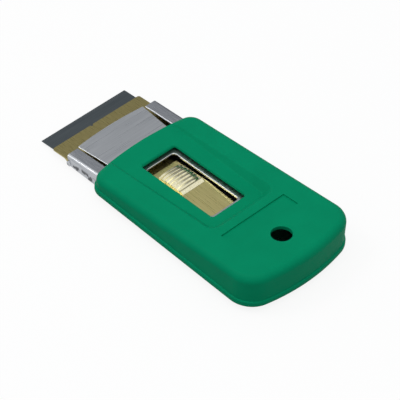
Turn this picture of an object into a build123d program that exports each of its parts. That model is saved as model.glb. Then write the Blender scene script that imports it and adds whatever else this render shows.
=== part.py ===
from build123d import *
import os
from math import asin, cos, degrees, radians, sin, tan

os.makedirs("parts", exist_ok=True)

# Wedge shape of the tool: flat underside, top face rising to the rear
deck_tilt = 4.75
deck_height = 11.56
sheet = 0.5

# Widths that follow the standard blade
blade_half = 19.5
blade_end_gap = 0.3
carrier_sheet = 0.5
carrier_half = blade_half + blade_end_gap + carrier_sheet
slide_gap = 0.2
channel_half = carrier_half + slide_gap + sheet
front_wall = 2.65
rear_wall = 3.7

# Plan of the moulded handle
handle_front = -29.8
handle_front_bow = 2.6
handle_front_half = channel_half + front_wall
handle_rear = 44.0
handle_rear_bow = 3.95
handle_rear_half = channel_half + rear_wall
front_corner = 5.2
rear_corner = 9.0
top_round = 2.8

# Parting line and the bead around the lower cover
parting_height = 4.65
bead_high = 2.45
bead_bottom = parting_height - bead_high
bead_grow = 0.5
bead_round = 0.7
tray_inset = 1.4
tray_straight = 1.1
tray_round = bead_bottom - tray_straight

# Steel channel that fills the handle
channel_front = -44.9
channel_front_low = -42.9
channel_rear = 40.4
channel_bottom = 1.0
channel_bend = 1.2
strip_depth = 2.2
strip_wide = 5.3
strip_inner_half = channel_half - strip_wide
floor_front = -39.3
floor_wide_gap = 2.0
floor_front_half = channel_half - floor_wide_gap
burr = 0.12
strip_edge_flat = 0.1
strip_edge_round = sheet - strip_edge_flat
nib_u = -44.27
nib_depth = 5.35
nib_radius = 1.0
nib_proud = 0.15
nest_gap = 0.15

# Sprung face plate with the slide window
plate_tilt = 2.58
plate_depth = 4.35
plate_sheet = 0.6
plate_edge_round = 0.2
plate_front = -45.95
plate_front_bow = 0.85
plate_front_gap = 0.45
plate_front_half = strip_inner_half - plate_front_gap
plate_taper_end = -32.5
plate_taper = 1.15
plate_taper_round = 20.0
plate_corner = 0.4
plate_half = plate_front_half - plate_taper
plate_rear = 26.5
plate_leg_run = 3.4
plate_window_front = -21.75
plate_window_rear = 9.15
plate_window_half = 6.5
plate_window_corner = 1.2
foot_half = 12.5
foot_rear = 39.9
plate_gap = 0.05

# Thumb recess and window in the upper cover
recess_wall = 2.1
recess_front = -38.0
recess_edge = 1.2
recess_front_half = strip_inner_half - recess_edge
recess_rear = 15.05
recess_taper = 2.4
recess_rear_half = recess_front_half - recess_taper
recess_corner = 1.2
recess_lean = 45.0
recess_reach = 7.0
recess_soft = 1.0
recess_foot_soft = 1.0
recess_rim_half = recess_front_half + recess_soft
recess_rim_rear = 20.0
window_front = -22.7
window_rear = 10.9
window_half = 7.75
window_corner = 0.8
window_soft = 0.85
pocket_front = -26.0
pocket_rear = 13.0
pocket_half = 12.0
pocket_high = 1.1
plate_zone_gap = 0.5
plate_zone_half = plate_half + plate_zone_gap
hollow_front = 18.6
hollow_depth = 1.4
hollow_corner = 2.0
hollow_rear = 40.0

# Bare name plate recess
name_front = 21.7
name_rear = 28.3
name_edge = 1.05
name_half = strip_inner_half - name_edge
name_deep = 0.45

# Hanging hole
hang_x = 34.9
hang_radius = 3.7
hang_clear = 0.5

# Pegs that join the two covers
peg_radius = 0.7
peg_length = 1.7
peg_fit = 0.05
peg_side_gap = 1.25
peg_side_y = channel_half + peg_side_gap
peg_front_x = -22.0
peg_middle_x = 12.0
peg_rear_x = 44.3
peg_rear_y = 8.0

# Rivets that hold the foot of the face plate
foot_rivet_x = 37.5
foot_rivet_y = 9.0
foot_rivet_radius = 1.2
foot_rivet_head = 2.1
foot_rivet_head_high = 0.5
rivet_fit = 0.02

# Brass blade carrier
carrier_front = -53.2
carrier_corner = 0.8
nick_y = -2.2
nick_radius = 0.6
step_front = -27.9
step_rear = -24.8
dip_depth = 6.5
dip_rear = -20.9
tail_front = -19.9
tail_depth = 5.45
tail_bend = -6.0
tail_rear = 10.9
tail_rear_depth = 7.3
tail_half = 5.95
head_rear = -29.5
flange_front = -47.3
flange_rear = -40.8
ear_front = -38.0
ear_rear = -30.5
ear_depth = 3.05
lip_front = -45.6
lip_rear = -41.5

# Razor blade and its folded spine
blade_tip = -59.7
blade_long = 19.0
blade_depth = 5.55
blade_thick = 0.25
bevel_long = 1.1
notch_front = -46.1
notch_long = 1.5
notch_deep = 1.6
spine_long = 3.8
spine_thick = 0.8
spine_wall = 0.3
spine_front = blade_tip + blade_long + spine_wall - spine_long
spine_end_gap = 0.6
spine_half = blade_half - spine_end_gap
lip_gap = 0.15
lip_inner_half = spine_half + lip_gap
spine_round = 0.15
carrier_depth = blade_depth - spine_thick / 2 - carrier_sheet
lip_fit = 0.025
lip_sheet = 0.3
lip_top_depth = blade_depth + blade_thick / 2 + lip_fit
lip_bottom_depth = lip_top_depth + lip_sheet

# Steel stop behind the blade
stop_gap = 0.1
stop_front = spine_front + spine_long + stop_gap
stop_long = 7.3
stop_rear = stop_front + stop_long
stop_half = 14.0
stop_sheet = 0.3
stop_lip_reach = 0.3
stop_lip_depth = blade_depth + stop_lip_reach
stop_rivet_back = 4.9
stop_rivet_u = stop_front + stop_rivet_back
stop_rivet_y = 11.0
stop_rivet_radius = 0.9
stop_rivet_head = 1.7
stop_rivet_head_high = 0.35

# Ridged thumb pad
ridge_front = -16.9
ridge_count = 7
ridge_pitch = 1.46
ridge_flat_share = 0.5
ridge_groove = 0.45
pad_rear = -5.6
pad_half = 5.0
pad_crown_depth = 3.75
pad_edge_depth = 4.45
pad_dome = 0.5
slot_depth = 5.1
bar_front = -7.05
bar_flat = 0.3
bar_depth = 4.6
tab_long = 0.6
tab_half = 1.5
tab_reach = 0.8
tab_front_u = -14.7
tab_rear_u = -10.3
tab_fit = 0.05

# Working planes
rise = radians(deck_tilt)
plate_rise = radians(deck_tilt - plate_tilt)
overall_rear = handle_rear + handle_rear_bow + bead_grow
overall_front = blade_tip * cos(rise) + blade_depth * sin(rise)
centre_x = -(overall_front + overall_rear) / 2
ground = Plane(origin=(centre_x, 0, 0))
side = Plane(origin=(centre_x, 0, 0), x_dir=(1, 0, 0), z_dir=(0, -1, 0))
deck = Plane(
    origin=(centre_x, 0, deck_height),
    x_dir=(cos(rise), 0, sin(rise)),
    z_dir=(-sin(rise), 0, cos(rise)),
)
deck_side = Plane(origin=deck.origin, x_dir=deck.x_dir, z_dir=(0, -1, 0))
plate_top = Plane(
    origin=deck.from_local_coords(Vector(0, 0, -plate_depth)),
    x_dir=(cos(plate_rise), 0, sin(plate_rise)),
    z_dir=(-sin(plate_rise), 0, cos(plate_rise)),
)
plate_normal = Axis(plate_top.origin, plate_top.z_dir)
deck_normal = Axis(deck.origin, deck.z_dir)
slide_way = Axis(deck.origin, deck.x_dir)


# Height above the ground of a line at a given depth under the top face
def height_at(x, depth):
    return deck_height + x * tan(rise) - depth / cos(rise)


# Plan outline of the handle, shared by both covers
with BuildSketch() as handle_plan:
    with BuildLine():
        front_edge = ThreePointArc(
            (handle_front, -handle_front_half),
            (handle_front - handle_front_bow, 0),
            (handle_front, handle_front_half),
        )
        Line(front_edge @ 1, (handle_rear, handle_rear_half))
        rear_edge = ThreePointArc(
            (handle_rear, handle_rear_half),
            (handle_rear + handle_rear_bow, 0),
            (handle_rear, -handle_rear_half),
        )
        Line(rear_edge @ 1, front_edge @ 0)
    make_face()
    fillet(handle_plan.vertices().group_by(Axis.X)[0], front_corner)
    fillet(handle_plan.vertices().group_by(Axis.X)[-1], rear_corner)

peg_spots = [
    (peg_front_x, peg_side_y),
    (peg_front_x, -peg_side_y),
    (peg_middle_x, peg_side_y),
    (peg_middle_x, -peg_side_y),
    (peg_rear_x, peg_rear_y),
    (peg_rear_x, -peg_rear_y),
]

# Upper cover
with BuildPart() as top_cover:
    with BuildSketch(ground):
        add(handle_plan.sketch)
    extrude(amount=2 * deck_height)
    split(bisect_by=deck, keep=Keep.BOTTOM)
    fillet(top_cover.faces().filter_by(deck).sort_by(Axis.Z)[-1].edges(), top_round)
    split(bisect_by=ground.offset(parting_height), keep=Keep.TOP)
    # Thumb recess that follows the face plate under it
    with BuildSketch(plate_top.offset(plate_gap + recess_wall)) as recess:
        with BuildLine():
            Polyline(
                (recess_front, -recess_front_half),
                (recess_rear, -recess_rear_half),
                (recess_rear, recess_rear_half),
                (recess_front, recess_front_half),
                close=True,
            )
        make_face()
        fillet(recess.vertices().group_by(Axis.X)[-1], recess_corner)
    extrude(amount=recess_reach, taper=-recess_lean, mode=Mode.SUBTRACT)
    recess_rim = top_cover.faces().filter_by(deck).sort_by(Axis.Z)[-1].edges()
    recess_rim = recess_rim.filter_by_position(Axis.Y, -recess_rim_half, recess_rim_half)
    recess_rim = recess_rim.filter_by_position(Axis.X, handle_front, recess_rim_rear + centre_x)
    fillet(recess_rim, recess_soft)
    recess_floor = top_cover.faces().filter_by(plate_top).sort_by(plate_normal)[-1]
    recess_foot = recess_floor.edges().filter_by_position(Axis.X, handle_front / 2, overall_rear)
    fillet(recess_foot, recess_foot_soft)
    # Room for the strips of the channel
    with BuildSketch(side.offset(plate_zone_half), side.offset(-channel_half - nest_gap)):
        with BuildLine():
            Polyline(
                (channel_front, 0),
                (channel_rear + nest_gap, 0),
                (channel_rear + nest_gap, height_at(channel_rear, strip_depth) + nest_gap),
                (channel_front, height_at(channel_front, strip_depth) + nest_gap),
                close=True,
            )
        make_face()
    extrude(amount=channel_half + nest_gap - plate_zone_half, mode=Mode.SUBTRACT)
    # Room for the face plate
    with BuildSketch(plate_top.offset(plate_gap)):
        with Locations(((channel_front + channel_rear + nest_gap) / 2, 0)):
            Rectangle(channel_rear + nest_gap - channel_front, 2 * plate_zone_half)
    extrude(amount=-deck_height, mode=Mode.SUBTRACT)
    # Thin floor around the window
    with BuildSketch(plate_top.offset(plate_gap + pocket_high)):
        with Locations(((pocket_front + pocket_rear) / 2, 0)):
            Rectangle(pocket_rear - pocket_front, 2 * pocket_half)
    extrude(amount=-pocket_high, mode=Mode.SUBTRACT)
    # Hollow behind the recess
    with BuildSketch(deck.offset(-hollow_depth)) as hollow:
        with Locations(((hollow_front + hollow_rear) / 2, 0)):
            Rectangle(hollow_rear - hollow_front, 2 * plate_zone_half)
        fillet(hollow.vertices(), hollow_corner)
    extrude(amount=-deck_height, mode=Mode.SUBTRACT)
    # Window for the thumb pad
    with BuildSketch(plate_top) as window:
        with Locations(((window_front + window_rear) / 2, 0)):
            Rectangle(window_rear - window_front, 2 * window_half)
        fillet(window.vertices(), window_corner)
    extrude(amount=recess_reach, both=True, mode=Mode.SUBTRACT)
    recess_floor = top_cover.faces().filter_by(plate_top).sort_by(plate_normal)[-1]
    fillet(recess_floor.inner_wires()[0].edges(), window_soft)
    # Bare name plate recess
    with BuildSketch(deck):
        with Locations(((name_front + name_rear) / 2, 0)):
            Rectangle(name_rear - name_front, 2 * name_half)
    extrude(amount=-name_deep, mode=Mode.SUBTRACT)
    with BuildSketch(ground):
        with Locations((hang_x, 0)):
            Circle(hang_radius)
    extrude(amount=2 * deck_height, mode=Mode.SUBTRACT)
    with BuildSketch(ground.offset(parting_height)):
        with Locations(*peg_spots):
            Circle(peg_radius)
    extrude(amount=-peg_length)

top_cover.part.label = "top_cover"
export_step(top_cover.part, "parts/top_cover.step")

# Lower cover
with BuildPart() as bottom_cover:
    with BuildSketch(ground.offset(bead_bottom)):
        add(handle_plan.sketch)
        offset(amount=bead_grow)
    extrude(amount=parting_height - bead_bottom)
    fillet(bottom_cover.faces().sort_by(Axis.Z)[-1].edges(), bead_round)
    fillet(bottom_cover.faces().sort_by(Axis.Z)[0].edges(), bead_round)
    with BuildSketch(ground):
        add(handle_plan.sketch)
        offset(amount=-tray_inset)
    extrude(amount=parting_height - bead_round)
    fillet(bottom_cover.faces().sort_by(Axis.Z)[0].edges(), tray_round)
    # Bed for the channel
    with BuildSketch(ground.offset(channel_bottom)):
        with Locations(((channel_front + channel_rear + nest_gap) / 2, 0)):
            Rectangle(channel_rear + nest_gap - channel_front, 2 * (channel_half + nest_gap))
    extrude(amount=deck_height, mode=Mode.SUBTRACT)
    with BuildSketch(ground.offset(parting_height)):
        with Locations(*peg_spots):
            Circle(peg_radius + peg_fit)
    extrude(amount=-peg_length - peg_fit, mode=Mode.SUBTRACT)
    with BuildSketch(ground.offset(channel_bottom - foot_rivet_head_high - peg_fit)):
        with Locations((foot_rivet_x, foot_rivet_y), (foot_rivet_x, -foot_rivet_y)):
            Circle(foot_rivet_head + nest_gap)
    extrude(amount=deck_height, mode=Mode.SUBTRACT)
    with BuildSketch(ground):
        with Locations((hang_x, 0)):
            Circle(hang_radius)
    extrude(amount=deck_height, mode=Mode.SUBTRACT)

bottom_cover.part.label = "bottom_cover"
export_step(bottom_cover.part, "parts/bottom_cover.step")

# Steel channel folded up and over at both sides
with BuildPart() as sleeve_channel:
    with BuildSketch(side):
        with BuildLine():
            Polyline(
                (channel_front_low, channel_bottom),
                (channel_rear, channel_bottom),
                (channel_rear, height_at(channel_rear, strip_depth)),
                (channel_front, height_at(channel_front, strip_depth)),
                close=True,
            )
        make_face()
    extrude(amount=channel_half, both=True)
    long_edges = sleeve_channel.edges().filter_by(Axis.X) + sleeve_channel.edges().filter_by(slide_way)
    fillet(long_edges, channel_bend)
    channel_ends = sleeve_channel.faces().sort_by(Axis.X)
    offset(amount=-sheet, openings=[channel_ends[0], channel_ends[-1]])
    # Gap between the strips for the face plate
    with BuildSketch(deck.offset(-strip_depth)):
        Rectangle(4 * channel_rear, 2 * strip_inner_half)
    extrude(amount=2 * sheet, both=True, mode=Mode.SUBTRACT)
    strip_edges = sleeve_channel.edges().filter_by(slide_way)
    for hand in (1, -1):
        inner_line = hand * strip_inner_half
        chosen = strip_edges.filter_by_position(Axis.Y, inner_line - burr, inner_line + burr)
        fillet(chosen.group_by(deck_normal)[-1], strip_edge_round)
    # Short front of the floor
    with BuildSketch(ground.offset(channel_bottom)):
        with Locations((floor_front, 0)):
            Rectangle(
                2 * (floor_front - channel_front),
                2 * floor_front_half,
                align=(Align.MAX, Align.CENTER),
            )
    extrude(amount=2 * sheet, both=True, mode=Mode.SUBTRACT)
    with BuildSketch(ground):
        with Locations((hang_x, 0)):
            Circle(hang_radius + hang_clear)
        with Locations((foot_rivet_x, foot_rivet_y), (foot_rivet_x, -foot_rivet_y)):
            Circle(foot_rivet_radius + rivet_fit)
    extrude(amount=channel_bottom + 2 * sheet, mode=Mode.SUBTRACT)
    # Round nibs pressed at the lower front corners
    with BuildSketch(
        deck_side.offset(channel_half - sheet), deck_side.offset(-channel_half - nib_proud)
    ):
        with Locations((nib_u, -nib_depth)):
            Circle(nib_radius)
    extrude(amount=sheet + nib_proud)

sleeve_channel.part.label = "sleeve_channel"
export_step(sleeve_channel.part, "parts/sleeve_channel.step")

# Face plate with its leg and foot
leg_top = plate_top.from_local_coords(Vector(plate_rear, 0, 0)) - Vector(centre_x, 0, 0)
foot_top = channel_bottom + sheet + plate_sheet
with BuildPart() as face_plate:
    with BuildSketch(plate_top) as plate_plan:
        with BuildLine():
            plate_nose = ThreePointArc(
                (plate_front, -plate_front_half),
                (plate_front - plate_front_bow, 0),
                (plate_front, plate_front_half),
            )
            Polyline(
                plate_nose @ 1,
                (plate_taper_end, plate_half),
                (plate_rear, plate_half),
                (plate_rear, -plate_half),
                (plate_taper_end, -plate_half),
                plate_nose @ 0,
            )
        make_face()
        fillet(plate_plan.vertices().group_by(Axis.X)[0], plate_corner)
        fillet(plate_plan.vertices().group_by(Axis.X)[2], plate_taper_round)
    extrude(amount=-plate_sheet)
    with BuildSketch(plate_top) as plate_window:
        with Locations(((plate_window_front + plate_window_rear) / 2, 0)):
            Rectangle(plate_window_rear - plate_window_front, 2 * plate_window_half)
        fillet(plate_window.vertices(), plate_window_corner)
    extrude(amount=2 * plate_sheet, both=True, mode=Mode.SUBTRACT)
    fillet(face_plate.faces().sort_by(plate_normal)[-1].edges(), plate_edge_round)
    with BuildSketch(side):
        with BuildLine():
            Polyline(
                (leg_top.X - plate_sheet, leg_top.Z - plate_sheet * tan(plate_rise) - burr),
                (leg_top.X - burr, leg_top.Z - burr),
                (leg_top.X + plate_leg_run, foot_top),
                (foot_rear, foot_top),
                (foot_rear, foot_top - plate_sheet),
                (leg_top.X + plate_leg_run - plate_sheet / 2, foot_top - plate_sheet),
                (leg_top.X - plate_sheet, leg_top.Z - plate_sheet),
                close=True,
            )
        make_face()
    extrude(amount=foot_half, both=True)
    with BuildSketch(ground):
        with Locations((hang_x, 0)):
            Circle(hang_radius + hang_clear)
        with Locations((foot_rivet_x, foot_rivet_y), (foot_rivet_x, -foot_rivet_y)):
            Circle(foot_rivet_radius + rivet_fit)
    extrude(amount=foot_top + sheet, mode=Mode.SUBTRACT)

face_plate.part.label = "face_plate"
export_step(face_plate.part, "parts/face_plate.step")

# Two rivets through the foot and the channel floor
with BuildPart() as foot_rivets:
    with BuildSketch(ground.offset(channel_bottom - foot_rivet_head_high)):
        with Locations((foot_rivet_x, foot_rivet_y), (foot_rivet_x, -foot_rivet_y)):
            Circle(foot_rivet_head)
    extrude(amount=foot_rivet_head_high)
    with BuildSketch(ground.offset(channel_bottom)):
        with Locations((foot_rivet_x, foot_rivet_y), (foot_rivet_x, -foot_rivet_y)):
            Circle(foot_rivet_radius)
    extrude(amount=foot_top - channel_bottom)
    with BuildSketch(ground.offset(foot_top)):
        with Locations((foot_rivet_x, foot_rivet_y), (foot_rivet_x, -foot_rivet_y)):
            Circle(foot_rivet_head)
    extrude(amount=foot_rivet_head_high)

foot_rivets.part.label = "foot_rivets"
export_step(foot_rivets.part, "parts/foot_rivets.step")

# Brass carrier: wide head over the blade, narrow tail under the window
with BuildPart() as blade_carrier:
    with BuildSketch(deck_side):
        with BuildLine():
            Polyline(
                (carrier_front, -carrier_depth),
                (step_front, -carrier_depth),
                (step_rear, -dip_depth),
                (dip_rear, -dip_depth),
                (tail_front, -tail_depth),
                (tail_bend, -tail_depth),
                (tail_rear, -tail_rear_depth),
                (tail_rear, -tail_rear_depth - carrier_sheet),
                (tail_bend, -tail_depth - carrier_sheet),
                (tail_front, -tail_depth - carrier_sheet),
                (dip_rear, -dip_depth - carrier_sheet),
                (step_rear, -dip_depth - carrier_sheet),
                (step_front, -carrier_depth - carrier_sheet),
                (carrier_front, -carrier_depth - carrier_sheet),
                close=True,
            )
        make_face()
    extrude(amount=carrier_half, both=True)
    fillet(blade_carrier.edges().filter_by(deck_normal).group_by(Axis.X)[0], carrier_corner)
    with BuildSketch(deck.offset(-carrier_depth)):
        with Locations((carrier_front, nick_y)):
            Circle(nick_radius)
    extrude(amount=2 * carrier_sheet, both=True, mode=Mode.SUBTRACT)
    # Flanges that hold the blade and ears that run under the strips
    with BuildSketch(
        deck_side.offset(carrier_half - carrier_sheet), deck_side.offset(-carrier_half)
    ):
        with BuildLine():
            Polyline(
                (flange_front, -carrier_depth),
                (flange_front, -carrier_depth - carrier_sheet),
                (lip_front, -lip_bottom_depth),
                (lip_rear, -lip_bottom_depth),
                (flange_rear, -carrier_depth - carrier_sheet),
                (ear_rear, -carrier_depth - carrier_sheet),
                (ear_rear, -ear_depth),
                (ear_front, -ear_depth),
                (ear_front, -carrier_depth),
                close=True,
            )
        make_face()
    extrude(amount=carrier_sheet)
    # Lips turned in under the ends of the blade
    with BuildSketch(deck.offset(-lip_bottom_depth)):
        for hand in (1, -1):
            lip_middle = hand * (carrier_half + lip_inner_half) / 2
            with Locations(((lip_front + lip_rear) / 2, lip_middle)):
                Rectangle(lip_rear - lip_front, carrier_half - lip_inner_half)
    extrude(amount=lip_bottom_depth - lip_top_depth)
    # Sides of the narrow tail
    with BuildSketch(deck.offset(-carrier_depth)):
        for hand in (1, -1):
            with Locations(((head_rear + 2 * tail_rear) / 2, hand * (carrier_half + tail_half) / 2)):
                Rectangle(2 * tail_rear - head_rear, carrier_half - tail_half)
    extrude(amount=deck_height, both=True, mode=Mode.SUBTRACT)
    with BuildSketch(deck.offset(-carrier_depth)):
        with Locations((stop_rivet_u, stop_rivet_y), (stop_rivet_u, -stop_rivet_y)):
            Circle(stop_rivet_radius + rivet_fit)
    extrude(amount=2 * carrier_sheet, both=True, mode=Mode.SUBTRACT)
    with BuildSketch(deck.offset(-tail_depth)):
        with Locations((tab_front_u, 0), (tab_rear_u, 0)):
            Rectangle(tab_long + 2 * tab_fit, 2 * (tab_half + tab_fit))
    extrude(amount=2 * carrier_sheet, both=True, mode=Mode.SUBTRACT)

blade_carrier.part.label = "blade_carrier"
export_step(blade_carrier.part, "parts/blade_carrier.step")

# Thumb pad: ridges on a long dome, turned about a long axis under the pad
crown_sag = pad_edge_depth - pad_crown_depth
crown_radius = (pad_half**2 + crown_sag**2) / (2 * crown_sag)
crown_centre = pad_crown_depth + crown_radius
crown_angle = degrees(asin(pad_half / crown_radius))
ridge_half_flat = ridge_pitch * ridge_flat_share / 2
pad_front = ridge_front - ridge_half_flat
dome_middle = (ridge_count - 1) / 2
with BuildPart() as thumb_pad:
    with BuildSketch(deck_side):
        with BuildLine():
            outline = [(pad_front, -tail_depth - carrier_sheet)]
            for index in range(ridge_count):
                ridge_middle = ridge_front + index * ridge_pitch
                ridge_depth = pad_crown_depth + pad_dome * (index / dome_middle - 1) ** 2
                outline.append((ridge_middle - ridge_half_flat, -ridge_depth))
                outline.append((ridge_middle + ridge_half_flat, -ridge_depth))
                outline.append((ridge_middle + ridge_pitch / 2, -ridge_depth - ridge_groove))
            outline.append((ridge_middle + ridge_pitch / 2, -tail_depth - carrier_sheet))
            Polyline(*outline, close=True)
        make_face()
    revolve(
        axis=Axis(
            deck.from_local_coords(Vector(0, 0, -crown_centre)),
            deck.x_dir,
        ),
        revolution_arc=2 * crown_angle,
    )
    mirror(about=Plane.XZ)
    # Straight sides and flat seat on the tail
    with BuildSketch(deck.offset(-tail_depth)):
        for hand in (1, -1):
            with Locations(((pad_front + pad_rear) / 2, hand * 2 * pad_half)):
                Rectangle(2 * (pad_rear - pad_front), 2 * pad_half)
    extrude(amount=deck_height, both=True, mode=Mode.SUBTRACT)
    with BuildSketch(deck.offset(-tail_depth)):
        with Locations(((pad_front + pad_rear) / 2, 0)):
            Rectangle(2 * (pad_rear - pad_front), 4 * pad_half)
    extrude(amount=-deck_height, mode=Mode.SUBTRACT)
    # Straight bar behind the ridges, joined to them by a thin web
    with BuildSketch(deck_side):
        with BuildLine():
            Polyline(
                (ridge_middle, -tail_depth),
                (ridge_middle, -slot_depth),
                (bar_front, -slot_depth),
                (bar_front, -bar_depth),
                (bar_front + bar_flat, -bar_depth),
                (pad_rear, -tail_depth),
                close=True,
            )
        make_face()
    extrude(amount=pad_half, both=True)
    # Tabs through the tail
    with BuildSketch(deck.offset(-tail_depth - tab_reach)):
        with Locations((tab_front_u, 0), (tab_rear_u, 0)):
            Rectangle(tab_long, 2 * tab_half)
    extrude(amount=tab_reach + tail_depth - pad_edge_depth - ridge_groove)

thumb_pad.part.label = "thumb_pad"
export_step(thumb_pad.part, "parts/thumb_pad.step")

# Razor blade
blade_rear = blade_tip + blade_long
with BuildPart() as razor_blade:
    with BuildSketch(deck_side):
        with BuildLine():
            Polyline(
                (blade_tip, -blade_depth),
                (blade_tip + bevel_long, -blade_depth + blade_thick / 2),
                (blade_rear, -blade_depth + blade_thick / 2),
                (blade_rear, -blade_depth - blade_thick / 2),
                (blade_tip + bevel_long, -blade_depth - blade_thick / 2),
                close=True,
            )
        make_face()
    extrude(amount=blade_half, both=True)
    with BuildSketch(deck.offset(-blade_depth)):
        for hand in (1, -1):
            with Locations((notch_front, hand * blade_half)):
                Rectangle(notch_long, 2 * notch_deep, align=(Align.MIN, Align.CENTER))
    extrude(amount=blade_thick, both=True, mode=Mode.SUBTRACT)

razor_blade.part.label = "razor_blade"
export_step(razor_blade.part, "parts/razor_blade.step")

# Folded spine pressed over the rear edge of the blade
with BuildPart() as blade_spine:
    with BuildSketch(deck_side) as spine_section:
        with Locations((spine_front, -blade_depth)):
            Rectangle(
                blade_rear + spine_wall - spine_front,
                spine_thick,
                align=(Align.MIN, Align.CENTER),
            )
        fillet(spine_section.vertices(), spine_round)
        with Locations((spine_front, -blade_depth)):
            Rectangle(
                blade_rear - spine_front,
                blade_thick,
                align=(Align.MIN, Align.CENTER),
                mode=Mode.SUBTRACT,
            )
    extrude(amount=spine_half, both=True)

blade_spine.part.label = "blade_spine"
export_step(blade_spine.part, "parts/blade_spine.step")

# Stop strip riveted under the carrier behind the spine
stop_top_depth = carrier_depth + carrier_sheet
with BuildPart() as blade_stop:
    with BuildSketch(deck_side):
        with BuildLine():
            Polyline(
                (stop_front, -stop_top_depth),
                (stop_rear, -stop_top_depth),
                (stop_rear, -stop_top_depth - stop_sheet),
                (stop_front + stop_sheet, -stop_top_depth - stop_sheet),
                (stop_front + stop_sheet, -stop_lip_depth),
                (stop_front, -stop_lip_depth),
                close=True,
            )
        make_face()
    extrude(amount=stop_half, both=True)
    with BuildSketch(deck.offset(-stop_top_depth)):
        with Locations((stop_rivet_u, stop_rivet_y), (stop_rivet_u, -stop_rivet_y)):
            Circle(stop_rivet_radius + rivet_fit)
    extrude(amount=2 * stop_sheet, both=True, mode=Mode.SUBTRACT)

blade_stop.part.label = "blade_stop"
export_step(blade_stop.part, "parts/blade_stop.step")

# Two rivets that hold the stop to the carrier
with BuildPart() as stop_rivets:
    with BuildSketch(deck.offset(-carrier_depth)):
        with Locations((stop_rivet_u, stop_rivet_y), (stop_rivet_u, -stop_rivet_y)):
            Circle(stop_rivet_head)
    extrude(amount=stop_rivet_head_high)
    with BuildSketch(deck.offset(-carrier_depth)):
        with Locations((stop_rivet_u, stop_rivet_y), (stop_rivet_u, -stop_rivet_y)):
            Circle(stop_rivet_radius)
    extrude(amount=-carrier_sheet - stop_sheet)
    with BuildSketch(deck.offset(-stop_top_depth - stop_sheet)):
        with Locations((stop_rivet_u, stop_rivet_y), (stop_rivet_u, -stop_rivet_y)):
            Circle(stop_rivet_head)
    extrude(amount=-stop_rivet_head_high)

stop_rivets.part.label = "stop_rivets"
export_step(stop_rivets.part, "parts/stop_rivets.step")
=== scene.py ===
from math import radians

import bpy
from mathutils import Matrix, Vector

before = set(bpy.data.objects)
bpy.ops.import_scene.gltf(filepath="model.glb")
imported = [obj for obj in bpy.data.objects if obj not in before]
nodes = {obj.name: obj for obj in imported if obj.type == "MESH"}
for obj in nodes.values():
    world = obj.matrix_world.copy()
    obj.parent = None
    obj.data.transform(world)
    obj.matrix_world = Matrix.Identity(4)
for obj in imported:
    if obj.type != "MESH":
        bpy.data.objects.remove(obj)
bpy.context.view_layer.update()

# Lengths are in metres, and colours are linear
WHITE = (1, 1, 1, 1)

# A noise texture stays mostly between these values
NOISE_LOW = 0.3
NOISE_HIGH = 0.7

# Sockets of a Mix node that mixes colours
MIX_FIRST = 6
MIX_SECOND = 7
MIX_RESULT = 2


# Shader tools shared by the finishes
def new_tree(owner, output_kind):
    owner.use_nodes = True
    owner.node_tree.nodes.clear()
    return owner.node_tree, owner.node_tree.nodes.new(output_kind)


def new_finish(name):
    finish = bpy.data.materials.new(name)
    tree, output = new_tree(finish, "ShaderNodeOutputMaterial")
    shader = tree.nodes.new("ShaderNodeBsdfPrincipled")
    tree.links.new(shader.outputs["BSDF"], output.inputs["Surface"])
    place = tree.nodes.new("ShaderNodeTexCoord")
    return finish, shader, place.outputs["Object"]


def stretch(tree, place, scale):
    mapping = tree.nodes.new("ShaderNodeMapping")
    mapping.inputs["Scale"].default_value = scale
    tree.links.new(place, mapping.inputs["Vector"])
    return mapping.outputs["Vector"]


def grain(tree, place, scale, detail, roughness):
    noise = tree.nodes.new("ShaderNodeTexNoise")
    noise.inputs["Scale"].default_value = scale
    noise.inputs["Detail"].default_value = detail
    noise.inputs["Roughness"].default_value = roughness
    tree.links.new(place, noise.inputs["Vector"])
    return noise.outputs["Fac"]


def split_axes(tree, vector):
    axes = tree.nodes.new("ShaderNodeSeparateXYZ")
    tree.links.new(vector, axes.inputs["Vector"])
    return axes.outputs


def level(tree, value, low_in, high_in, low_out, high_out):
    span = tree.nodes.new("ShaderNodeMapRange")
    span.inputs["From Min"].default_value = low_in
    span.inputs["From Max"].default_value = high_in
    span.inputs["To Min"].default_value = low_out
    span.inputs["To Max"].default_value = high_out
    tree.links.new(value, span.inputs["Value"])
    return span.outputs["Result"]


def product(tree, one, other):
    times = tree.nodes.new("ShaderNodeMath")
    times.operation = "MULTIPLY"
    tree.links.new(one, times.inputs[0])
    tree.links.new(other, times.inputs[1])
    return times.outputs["Value"]


def ramp(tree, value, stops):
    colours = tree.nodes.new("ShaderNodeValToRGB")
    elements = colours.color_ramp.elements
    first, *middle, last = stops
    elements[0].position, elements[0].color = first
    elements[1].position, elements[1].color = last
    for spot, colour in middle:
        elements.new(spot).color = colour
    tree.links.new(value, colours.inputs["Fac"])
    return colours.outputs["Color"]


def tint(tree, noise, dark, light):
    return ramp(tree, noise, ((NOISE_LOW, (*dark, 1)), (NOISE_HIGH, (*light, 1))))


def mixed_colour(tree, share, first):
    blend = tree.nodes.new("ShaderNodeMix")
    blend.data_type = "RGBA"
    tree.links.new(share, blend.inputs["Factor"])
    tree.links.new(first, blend.inputs[MIX_FIRST])
    return blend.inputs[MIX_SECOND], blend.outputs[MIX_RESULT]


def mixed_shader(tree, first, second):
    mix = tree.nodes.new("ShaderNodeMixShader")
    tree.links.new(first, mix.inputs[1])
    tree.links.new(second, mix.inputs[2])
    return mix.inputs["Fac"], mix.outputs["Shader"]


def switched_shader(tree, switch, off, on):
    share, shader = mixed_shader(tree, off, on)
    tree.links.new(switch, share)
    return shader


def relief(tree, shader, value, depth, strength):
    bump = tree.nodes.new("ShaderNodeBump")
    bump.inputs["Distance"].default_value = depth
    bump.inputs["Strength"].default_value = strength
    tree.links.new(value, bump.inputs["Height"])
    tree.links.new(bump.outputs["Normal"], shader.inputs["Normal"])


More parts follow.
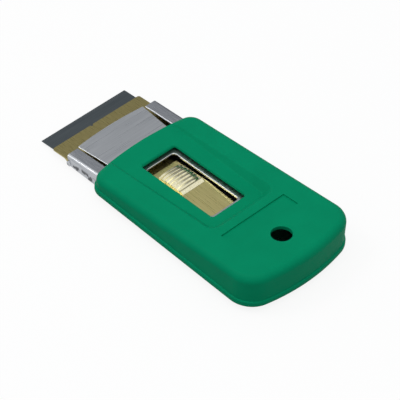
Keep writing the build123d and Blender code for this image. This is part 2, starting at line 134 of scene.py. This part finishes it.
# Green moulded plastic of the covers
GREEN_DARK = (0.0, 0.219, 0.103)
GREEN_LIGHT = (0.0, 0.236, 0.111)
GREEN_ROUGH_LOW = 0.46
GREEN_ROUGH_HIGH = 0.56
GREEN_SPECULAR = 0.03
CLOUD_SCALE = 90
SKIN_SCALE = 3200
SKIN_DEPTH = 0.00003
SKIN_STRENGTH = 0.35
SOFT_DETAIL = 2.0
SOFT_ROUGHNESS = 0.6


def moulded_green():
    finish, shader, place = new_finish("moulded_green")
    tree = finish.node_tree
    cloud = grain(tree, place, CLOUD_SCALE, SOFT_DETAIL, SOFT_ROUGHNESS)
    colour = tint(tree, cloud, GREEN_DARK, GREEN_LIGHT)
    tree.links.new(colour, shader.inputs["Base Color"])
    skin = grain(tree, place, SKIN_SCALE, SOFT_DETAIL, SOFT_ROUGHNESS)
    rough = level(tree, skin, NOISE_LOW, NOISE_HIGH, GREEN_ROUGH_LOW, GREEN_ROUGH_HIGH)
    tree.links.new(rough, shader.inputs["Roughness"])
    shader.inputs["Specular IOR Level"].default_value = GREEN_SPECULAR
    relief(tree, shader, skin, SKIN_DEPTH, SKIN_STRENGTH)
    return finish


# Metal whose fine lines run along or across the tool
ALONG = (0.02, 1.0, 1.0)
ACROSS = (1.0, 0.018, 1.0)
BRASS_LINES = 2200
CHANNEL_LINES = 2400
STEEL_LINES = 2600
LINE_DETAIL = 4.0
LINE_ROUGHNESS = 0.7
LINE_DEPTH = 0.00001
LINE_STRENGTH = 0.2


def worked_metal(name, pull, fine, dark, light, rough_low, rough_high):
    finish, shader, place = new_finish(name)
    tree = finish.node_tree
    lines = grain(tree, stretch(tree, place, pull), fine, LINE_DETAIL, LINE_ROUGHNESS)
    colour = tint(tree, lines, dark, light)
    tree.links.new(colour, shader.inputs["Base Color"])
    rough = level(tree, lines, NOISE_LOW, NOISE_HIGH, rough_low, rough_high)
    tree.links.new(rough, shader.inputs["Roughness"])
    shader.inputs["Metallic"].default_value = 1.0
    relief(tree, shader, lines, LINE_DEPTH, LINE_STRENGTH)
    return finish, shader, place, lines, colour


# Steel of the channel, with dark reflections painted as dark spots low on its outer walls
PAINTED_REFLECTION_COLOUR = (0.03, 0.03, 0.035, 1)
PAINTED_REFLECTION_SHARE = 0.85
PAINTED_REFLECTION_LOW = 0.0038
PAINTED_REFLECTION_HIGH = 0.0048
PAINTED_REFLECTION_SCALE = 420
SPOT_LOW = 0.5
SPOT_HIGH = 0.6
WALL_INSIDE = 0.0202
WALL_OUTSIDE = 0.0207


def steel_with_painted_reflections():
    finish, shader, place, _, clean = worked_metal(
        "sleeve_steel", ALONG, CHANNEL_LINES, (0.38, 0.40, 0.43), (0.52, 0.53, 0.55), 0.18, 0.28
    )
    tree = finish.node_tree
    axes = split_axes(tree, place)
    low = level(tree, axes["Z"], PAINTED_REFLECTION_LOW, PAINTED_REFLECTION_HIGH, PAINTED_REFLECTION_SHARE, 0.0)
    noise = grain(tree, place, PAINTED_REFLECTION_SCALE, SOFT_DETAIL, SOFT_ROUGHNESS)
    spots = level(tree, noise, SPOT_LOW, SPOT_HIGH, 0.0, 1.0)
    outward = tree.nodes.new("ShaderNodeMath")
    outward.operation = "ABSOLUTE"
    tree.links.new(axes["Y"], outward.inputs[0])
    wall = level(tree, outward.outputs["Value"], WALL_INSIDE, WALL_OUTSIDE, 0.0, 1.0)
    # Painted reflection: dark spots low on the outer walls stand in for the dark things that
    # the polished walls reflect
    painted_reflection = product(tree, product(tree, low, spots), wall)
    painted_reflection_input, colour = mixed_colour(tree, painted_reflection, clean)
    painted_reflection_input.default_value = PAINTED_REFLECTION_COLOUR
    tree.links.new(colour, shader.inputs["Base Color"])
    return finish


# Brass of the carrier, painted as a shaded and a lit copy: the head darker as painted shade
# under the sleeve, the tail brighter as painted light through the window
HEAD_END = -0.0222
TAIL_START = -0.0186
LIT_TAIL_DARK = (0.60, 0.53, 0.21)
LIT_TAIL_LIGHT = (0.72, 0.64, 0.29)


def brass_with_painted_light():
    finish, shader, place, lines, shaded_head = worked_metal(
        "carrier_brass", ALONG, BRASS_LINES, (0.33, 0.28, 0.11), (0.41, 0.35, 0.15), 0.25, 0.35
    )
    tree = finish.node_tree
    # Painted light: towards the rear the colour changes from the shaded head to the lit tail
    rear = level(tree, split_axes(tree, place)["X"], HEAD_END, TAIL_START, 0.0, 1.0)
    lit_tail, colour = mixed_colour(tree, rear, shaded_head)
    tree.links.new(tint(tree, lines, LIT_TAIL_DARK, LIT_TAIL_LIGHT), lit_tail)
    tree.links.new(colour, shader.inputs["Base Color"])
    return finish


# Each plain metal: the way of its lines, how fine they are, dark and light colour, roughness
plain_metals = {
    "plate_steel": (ACROSS, STEEL_LINES, (0.49, 0.51, 0.53), (0.58, 0.60, 0.62), 0.26, 0.36),
    # The blade's very dark colour is a painted dark reflection of its surroundings
    "blade_steel": (ACROSS, STEEL_LINES, (0.10, 0.12, 0.13), (0.13, 0.15, 0.16), 0.28, 0.38),
    "fixing_steel": (ACROSS, STEEL_LINES, (0.40, 0.41, 0.43), (0.52, 0.53, 0.55), 0.3, 0.4),
    "pad_brass": (ALONG, BRASS_LINES, (0.58, 0.54, 0.33), (0.80, 0.77, 0.58), 0.14, 0.22),
}
metals = {name: worked_metal(name, *values)[0] for name, values in plain_metals.items()}
green = moulded_green()

finishes = {
    "top_cover": green,
    "bottom_cover": green,
    "sleeve_channel": steel_with_painted_reflections(),
    "face_plate": metals["plate_steel"],
    "foot_rivets": metals["fixing_steel"],
    "blade_carrier": brass_with_painted_light(),
    "thumb_pad": metals["pad_brass"],
    "razor_blade": metals["blade_steel"],
    "blade_spine": metals["fixing_steel"],
    "blade_stop": metals["fixing_steel"],
    "stop_rivets": metals["fixing_steel"],
}
for node, finish in finishes.items():
    nodes[node].data.materials.clear()
    nodes[node].data.materials.append(finish)


# Plain pale floor that keeps a soft shadow, and lights the object less than it shows
FLOOR_SIZE = 6
FLOOR_DROP = 0.0001
FLOOR_UNSEEN = (0.35, 0.35, 0.35, 1)
FLOOR_SEEN = (0.9, 0.9, 0.9, 1)
FLOOR_GLOW = 0.88


def pale_floor():
    bpy.ops.object.select_all(action="DESELECT")
    bpy.ops.mesh.primitive_plane_add(size=FLOOR_SIZE, location=(0, 0, -FLOOR_DROP))
    floor = bpy.context.object
    floor.name = "floor"
    finish = bpy.data.materials.new("pale_floor")
    tree, output = new_tree(finish, "ShaderNodeOutputMaterial")
    rays = tree.nodes.new("ShaderNodeLightPath").outputs
    cloth = tree.nodes.new("ShaderNodeBsdfDiffuse")
    cloth.inputs["Color"].default_value = FLOOR_UNSEEN
    bright = tree.nodes.new("ShaderNodeBsdfDiffuse")
    bright.inputs["Color"].default_value = FLOOR_SEEN
    glow = tree.nodes.new("ShaderNodeEmission")
    glow.inputs["Color"].default_value = WHITE
    glow.inputs["Strength"].default_value = 1.0
    share, shown = mixed_shader(tree, bright.outputs["BSDF"], glow.outputs["Emission"])
    share.default_value = FLOOR_GLOW
    mirrored = switched_shader(tree, rays["Is Glossy Ray"], cloth.outputs["BSDF"], shown)
    above = switched_shader(tree, rays["Is Camera Ray"], mirrored, shown)
    # Clear from below, so that the underside can be looked at
    face = tree.nodes.new("ShaderNodeNewGeometry")
    clear = tree.nodes.new("ShaderNodeBsdfTransparent")
    one_sided = switched_shader(tree, face.outputs["Backfacing"], above, clear.outputs["BSDF"])
    tree.links.new(one_sided, output.inputs["Surface"])
    floor.data.materials.append(finish)


# Room: even light for matt faces, and for gloss a bright room that darkens to the far side
ROOM_COLOUR = (0.96, 0.98, 1, 1)
ROOM_STRENGTH = 0.6
WALL_GREY = (0.36, 0.37, 0.39, 1)
WALL_DARK = (0.06, 0.06, 0.07, 1)
WALL_STOPS = ((0.30, WHITE), (0.46, WALL_GREY), (0.62, WALL_GREY), (0.74, WALL_DARK))
NEAR_SIDE = 0.12
SKIRTING_HIGH = 0.1
SKIRTING_STRENGTH = 0.2
WALL_STRENGTH = 1.1


def backdrop(tree, strength):
    light = tree.nodes.new("ShaderNodeBackground")
    light.inputs["Strength"].default_value = strength
    return light


def room_light():
    world = bpy.data.worlds.new("room")
    bpy.context.scene.world = world
    tree, output = new_tree(world, "ShaderNodeOutputWorld")
    rays = tree.nodes.new("ShaderNodeLightPath").outputs
    dim = backdrop(tree, ROOM_STRENGTH)
    dim.inputs["Color"].default_value = ROOM_COLOUR
    place = tree.nodes.new("ShaderNodeTexCoord")
    axes = split_axes(tree, place.outputs["Generated"])
    near = level(tree, axes["X"], 0.0, NEAR_SIDE, 0.0, 1.0)
    near_wall, colour = mixed_colour(tree, near, ramp(tree, axes["Y"], WALL_STOPS))
    near_wall.default_value = WHITE
    gloss = backdrop(tree, WALL_STRENGTH)
    tree.links.new(colour, gloss.inputs["Color"])
    # Dark skirting along the horizon
    strength = level(tree, axes["Z"], 0.0, SKIRTING_HIGH, SKIRTING_STRENGTH, WALL_STRENGTH)
    tree.links.new(strength, gloss.inputs["Strength"])
    white = backdrop(tree, 1.0)
    white.inputs["Color"].default_value = WHITE
    shine = switched_shader(
        tree, rays["Is Glossy Ray"], dim.outputs["Background"], gloss.outputs["Background"]
    )
    seen = switched_shader(tree, rays["Is Camera Ray"], shine, white.outputs["Background"])
    tree.links.new(seen, output.inputs["Surface"])


# Square lamps that face the tool
def soft_lamp(name, place, size, power):
    lamp = bpy.data.lights.new(name, "AREA")
    lamp.shape = "SQUARE"
    lamp.size = size
    lamp.energy = power
    holder = bpy.data.objects.new(name, lamp)
    bpy.context.scene.collection.objects.link(holder)
    holder.location = place
    holder.rotation_mode = "QUATERNION"
    holder.rotation_quaternion = (-Vector(place)).to_track_quat("-Z", "Y")


# The photograph's camera: a long lens that looks down at the tool from behind its right side
CAMERA_PLACE = (0.46780, -0.51581, 0.68553)
CAMERA_TURN = (45.367, -3.324, 45.277)
CAMERA_LENS = 262.11
CAMERA_SENSOR = 36
CAMERA_NEAR = 0.05
CAMERA_FAR = 20


def photo_camera():
    lens = bpy.data.cameras.new("photo_camera")
    lens.sensor_width = CAMERA_SENSOR
    lens.lens = CAMERA_LENS
    lens.clip_start = CAMERA_NEAR
    lens.clip_end = CAMERA_FAR
    camera = bpy.data.objects.new("photo_camera", lens)
    bpy.context.scene.collection.objects.link(camera)
    camera.location = CAMERA_PLACE
    camera.rotation_euler = [radians(turn) for turn in CAMERA_TURN]
    bpy.context.scene.camera = camera


pale_floor()
room_light()
soft_lamp("key_softbox", (0.12, -0.10, 1.0), 0.8, 3.3)
soft_lamp("line_lamp", (-0.48, -0.46, 0.80), 0.35, 2.0)
photo_camera()
bpy.context.scene.view_settings.view_transform = "Standard"
